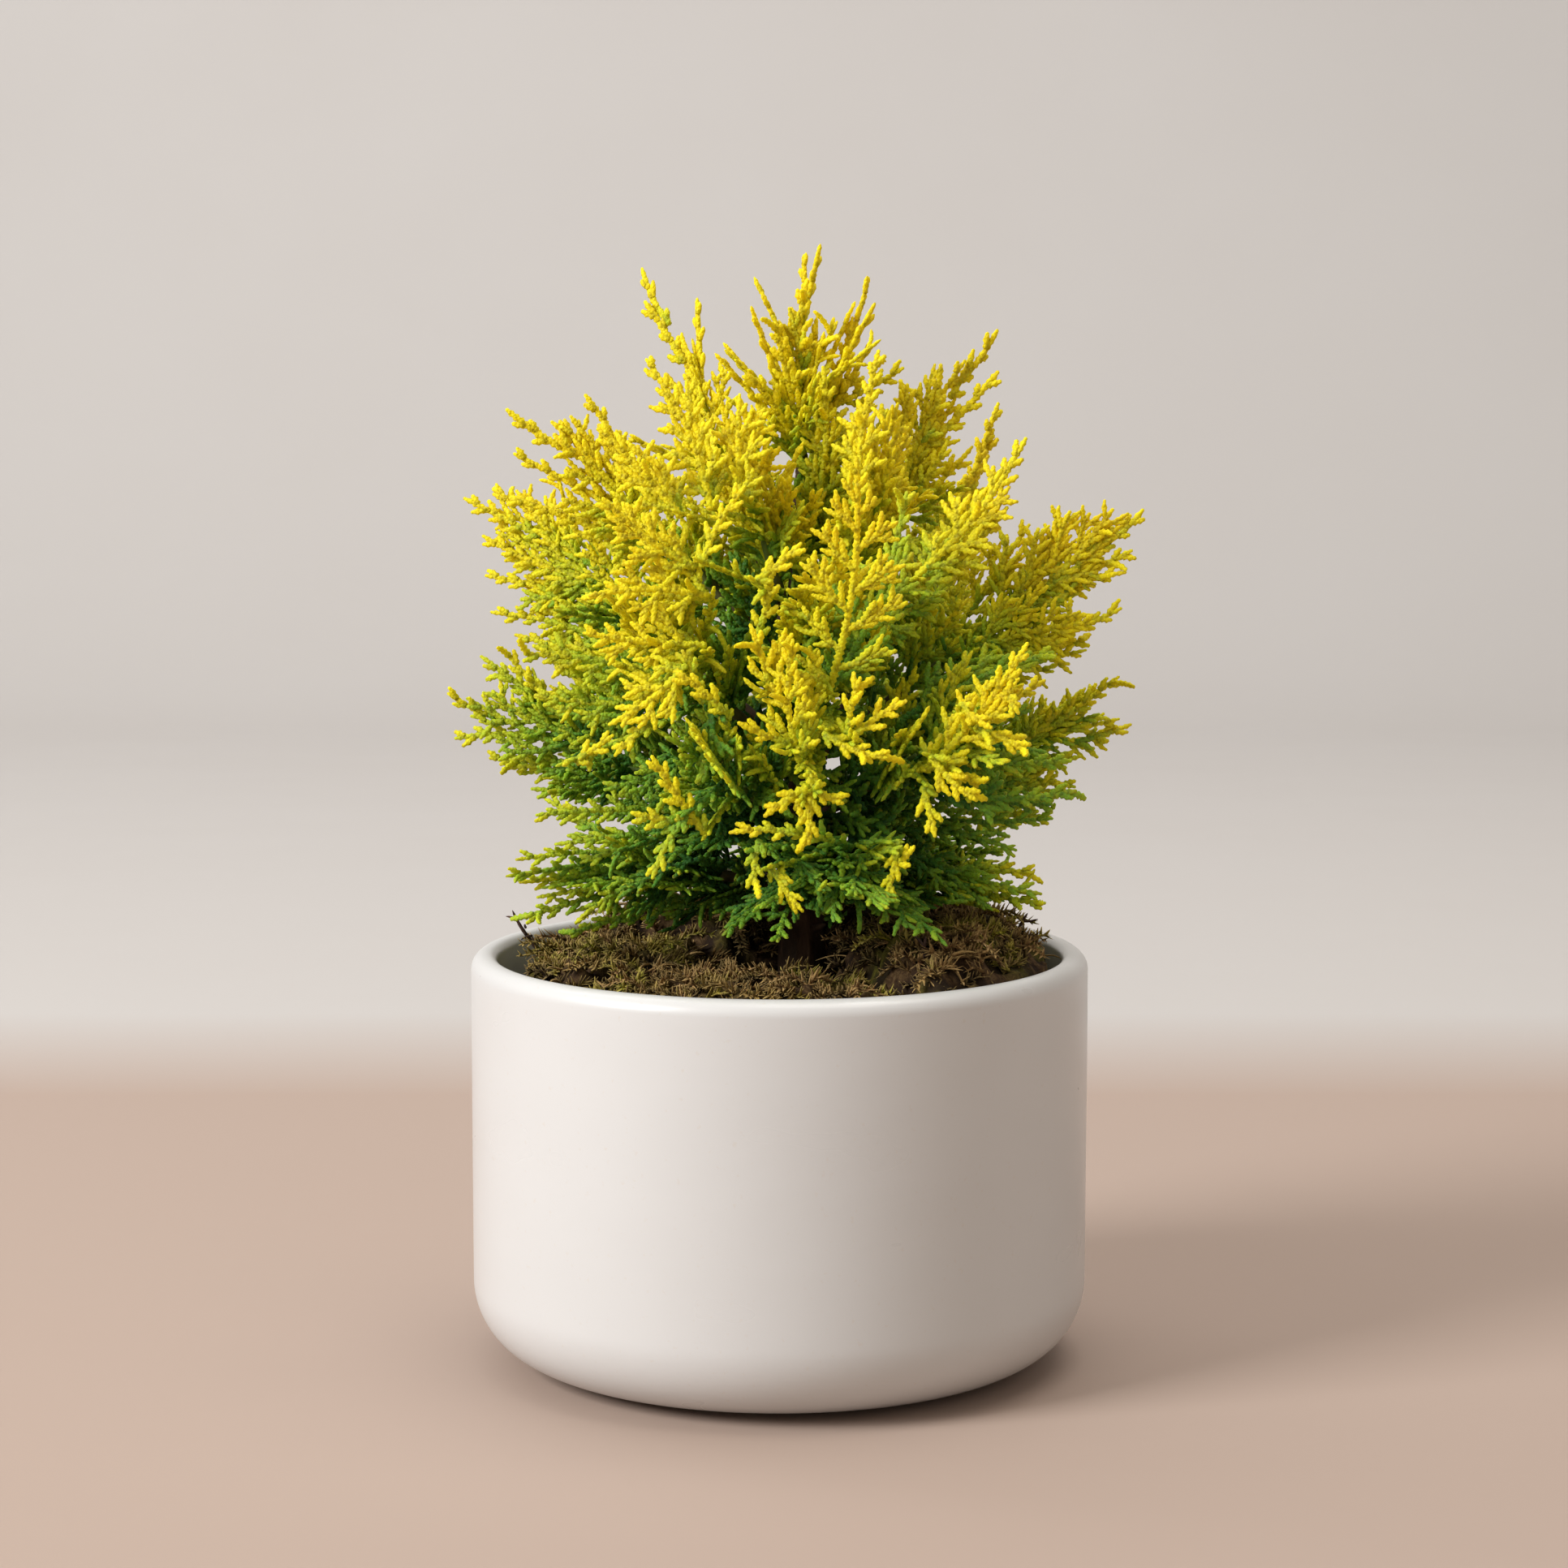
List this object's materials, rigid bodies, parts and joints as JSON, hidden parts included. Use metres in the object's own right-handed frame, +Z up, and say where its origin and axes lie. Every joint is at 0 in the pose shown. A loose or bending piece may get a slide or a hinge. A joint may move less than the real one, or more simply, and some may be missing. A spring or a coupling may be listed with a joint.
{
  "type": "artificial tabletop conifer",
  "caption": "Small artificial golden conifer with flat scale-leaf sprays on wire limbs, standing in moss in a round glazed pot.",
  "frame": {"origin": "centre of the felt pad's underside, on the pot's axis, on the table", "axes": "+Z up the trunk; the side that is seen first faces -Y; +X is that viewer's right"},
  "size_m": [0.1387, 0.127, 0.2299],
  "materials": {
    "glaze": "satin glaze",
    "felt": "felt",
    "cement": "rough",
    "foam": "matte",
    "coir": "fibrous",
    "moss": "fibrous",
    "dry_twig": "matte",
    "steel": "drawn",
    "bark": "matte",
    "foliage": "matte"
  },
  "bodies": {
    "pot_and_trunk": {"pot": "glaze", "felt_pad": "felt", "cement_ballast": "cement", "foam_plug": "foam", "coir_disc": "coir", "moss_front": "moss", "moss_left": "moss", "moss_right": "moss", "moss_back": "moss", "dry_twigs": "dry_twig", "trunk_rod": "steel", "trunk_bark": "bark"},
    "limb_01": {"limb_01_wire": "steel", "limb_01_sprays": "foliage"},
    "limb_02": {"limb_02_wire": "steel", "limb_02_sprays": "foliage"},
    "limb_03": {"limb_03_wire": "steel", "limb_03_sprays": "foliage"},
    "limb_04": {"limb_04_wire": "steel", "limb_04_sprays": "foliage"},
    "limb_05": {"limb_05_wire": "steel", "limb_05_sprays": "foliage"},
    "limb_06": {"limb_06_wire": "steel", "limb_06_sprays": "foliage"},
    "limb_07": {"limb_07_wire": "steel", "limb_07_sprays": "foliage"},
    "limb_08": {"limb_08_wire": "steel", "limb_08_sprays": "foliage"},
    "limb_09": {"limb_09_wire": "steel", "limb_09_sprays": "foliage"},
    "limb_10": {"limb_10_wire": "steel", "limb_10_sprays": "foliage"},
    "limb_11": {"limb_11_wire": "steel", "limb_11_sprays": "foliage"},
    "limb_12": {"limb_12_wire": "steel", "limb_12_sprays": "foliage"},
    "limb_13": {"limb_13_wire": "steel", "limb_13_sprays": "foliage"},
    "limb_14": {"limb_14_wire": "steel", "limb_14_sprays": "foliage"},
    "limb_15": {"limb_15_wire": "steel", "limb_15_sprays": "foliage"},
    "limb_16": {"limb_16_wire": "steel", "limb_16_sprays": "foliage"},
    "limb_17": {"limb_17_wire": "steel", "limb_17_sprays": "foliage"},
    "limb_18": {"limb_18_wire": "steel", "limb_18_sprays": "foliage"},
    "limb_19": {"limb_19_wire": "steel", "limb_19_sprays": "foliage"},
    "limb_20": {"limb_20_wire": "steel", "limb_20_sprays": "foliage"},
    "limb_21": {"limb_21_wire": "steel", "limb_21_sprays": "foliage"},
    "limb_22": {"limb_22_wire": "steel", "limb_22_sprays": "foliage"},
    "limb_23": {"limb_23_wire": "steel", "limb_23_sprays": "foliage"},
    "leader": {"leader_wire": "steel", "leader_sprays": "foliage"}
  },
  "joints": [
    {"name": "limb_01_bend", "type": "hinge", "parent": "pot_and_trunk", "child": "limb_01", "pos_m": [0.00561, -0.00387, 0.10123], "axis": [-0.9613, -0.2756, 0], "range_deg": [-2, 7], "deforming": ["limb_01_wire"]},
    {"name": "limb_02_bend", "type": "hinge", "parent": "pot_and_trunk", "child": "limb_02", "pos_m": [0.00084, -0.00178, 0.09879], "axis": [-0.4384, 0.8988, 0], "range_deg": [-2, 7], "deforming": ["limb_02_wire"]},
    {"name": "limb_03_bend", "type": "hinge", "parent": "pot_and_trunk", "child": "limb_03", "pos_m": [0.0083, -0.00138, 0.09943], "axis": [-0.342, -0.9397, 0], "range_deg": [-2, 7], "deforming": ["limb_03_wire"]},
    {"name": "limb_04_bend", "type": "hinge", "parent": "pot_and_trunk", "child": "limb_04", "pos_m": [0.00788, 0.00228, 0.09857], "axis": [0.5592, -0.829, 0], "range_deg": [-2, 7], "deforming": ["limb_04_wire"]},
    {"name": "limb_05_bend", "type": "hinge", "parent": "pot_and_trunk", "child": "limb_05", "pos_m": [0.00436, 0.00407, 0.09857], "axis": [0.9994, 0.0349, 0], "range_deg": [-2, 7], "deforming": ["limb_05_wire"]},
    {"name": "limb_06_bend", "type": "hinge", "parent": "pot_and_trunk", "child": "limb_06", "pos_m": [0.00112, 0.00228, 0.09857], "axis": [0.5592, 0.829, 0], "range_deg": [-2, 7], "deforming": ["limb_06_wire"]},
    {"name": "limb_07_bend", "type": "hinge", "parent": "pot_and_trunk", "child": "limb_07", "pos_m": [0.00307, -0.00354, 0.11054], "axis": [-0.9272, 0.3746, 0], "range_deg": [-7, 7], "deforming": ["limb_07_wire"]},
    {"name": "limb_08_bend", "type": "hinge", "parent": "pot_and_trunk", "child": "limb_08", "pos_m": [0.00721, -0.00262, 0.11292], "axis": [-0.6947, -0.7193, 0], "range_deg": [-7, 7], "deforming": ["limb_08_wire"]},
    {"name": "limb_09_bend", "type": "hinge", "parent": "pot_and_trunk", "child": "limb_09", "pos_m": [0.00827, 0.0004, 0.11116], "axis": [0.1045, -0.9945, 0], "range_deg": [-7, 7], "deforming": ["limb_09_wire"]},
    {"name": "limb_10_bend", "type": "hinge", "parent": "pot_and_trunk", "child": "limb_10", "pos_m": [0.00638, 0.00326, 0.113], "axis": [0.866, -0.5, 0], "range_deg": [-7, 7], "deforming": ["limb_10_wire"]},
    {"name": "limb_11_bend", "type": "hinge", "parent": "pot_and_trunk", "child": "limb_11", "pos_m": [0.00285, 0.00339, 0.113], "axis": [0.8988, 0.4384, 0], "range_deg": [-7, 7], "deforming": ["limb_11_wire"]},
    {"name": "limb_12_bend", "type": "hinge", "parent": "pot_and_trunk", "child": "limb_12", "pos_m": [0.00071, 0.00013, 0.11138], "axis": [0.0349, 0.9994, 0], "range_deg": [-7, 7], "deforming": ["limb_12_wire"]},
    {"name": "limb_13_bend", "type": "hinge", "parent": "pot_and_trunk", "child": "limb_13", "pos_m": [0.00511, -0.00343, 0.12625], "axis": [-0.9848, -0.1736, 0], "range_deg": [-7, 7], "deforming": ["limb_13_wire"]},
    {"name": "limb_14_bend", "type": "hinge", "parent": "pot_and_trunk", "child": "limb_14", "pos_m": [0.00181, -0.00226, 0.12455], "axis": [-0.6428, 0.766, 0], "range_deg": [-7, 7], "deforming": ["limb_14_wire"]},
    {"name": "limb_15_bend", "type": "hinge", "parent": "pot_and_trunk", "child": "limb_15", "pos_m": [0.00795, -0.00049, 0.12563], "axis": [-0.1392, -0.9903, 0], "range_deg": [-7, 7], "deforming": ["limb_15_wire"]},
    {"name": "limb_16_bend", "type": "hinge", "parent": "pot_and_trunk", "child": "limb_16", "pos_m": [0.00725, 0.00215, 0.12661], "axis": [0.6157, -0.788, 0], "range_deg": [-7, 7], "deforming": ["limb_16_wire"]},
    {"name": "limb_17_bend", "type": "hinge", "parent": "pot_and_trunk", "child": "limb_17", "pos_m": [0.00426, 0.00346, 0.12785], "axis": [0.9976, 0.0698, 0], "range_deg": [-7, 7], "deforming": ["limb_17_wire"]},
    {"name": "limb_18_bend", "type": "hinge", "parent": "pot_and_trunk", "child": "limb_18", "pos_m": [0.00123, 0.00106, 0.12769], "axis": [0.309, 0.9511, 0], "range_deg": [-7, 7], "deforming": ["limb_18_wire"]},
    {"name": "limb_19_bend", "type": "hinge", "parent": "pot_and_trunk", "child": "limb_19", "pos_m": [0.00685, -0.00197, 0.1461], "axis": [-0.6428, -0.766, 0], "range_deg": [-5, 5], "deforming": ["limb_19_wire"]},
    {"name": "limb_20_bend", "type": "hinge", "parent": "pot_and_trunk", "child": "limb_20", "pos_m": [0.00739, 0.00088, 0.14823], "axis": [0.2924, -0.9563, 0], "range_deg": [-5, 5], "deforming": ["limb_20_wire"]},
    {"name": "limb_21_bend", "type": "hinge", "parent": "pot_and_trunk", "child": "limb_21", "pos_m": [0.00208, 0.00176, 0.15014], "axis": [0.5878, 0.809, 0], "range_deg": [-5, 5], "deforming": ["limb_21_wire"]},
    {"name": "limb_22_bend", "type": "hinge", "parent": "pot_and_trunk", "child": "limb_22", "pos_m": [0.00142, -0.00027, 0.14331], "axis": [-0.0872, 0.9962, 0], "range_deg": [-7, 7], "deforming": ["limb_22_wire"]},
    {"name": "limb_23_bend", "type": "hinge", "parent": "pot_and_trunk", "child": "limb_23", "pos_m": [0.00295, -0.00259, 0.14868], "axis": [-0.8572, 0.515, 0], "range_deg": [-5, 5], "deforming": ["limb_23_wire"]},
    {"name": "leader_bend", "type": "hinge", "parent": "pot_and_trunk", "child": "leader", "pos_m": [0.0045, -0.00007, 0.178], "axis": [-1, 0, 0], "range_deg": [-5, 5], "deforming": ["leader_wire"]}
  ]
}
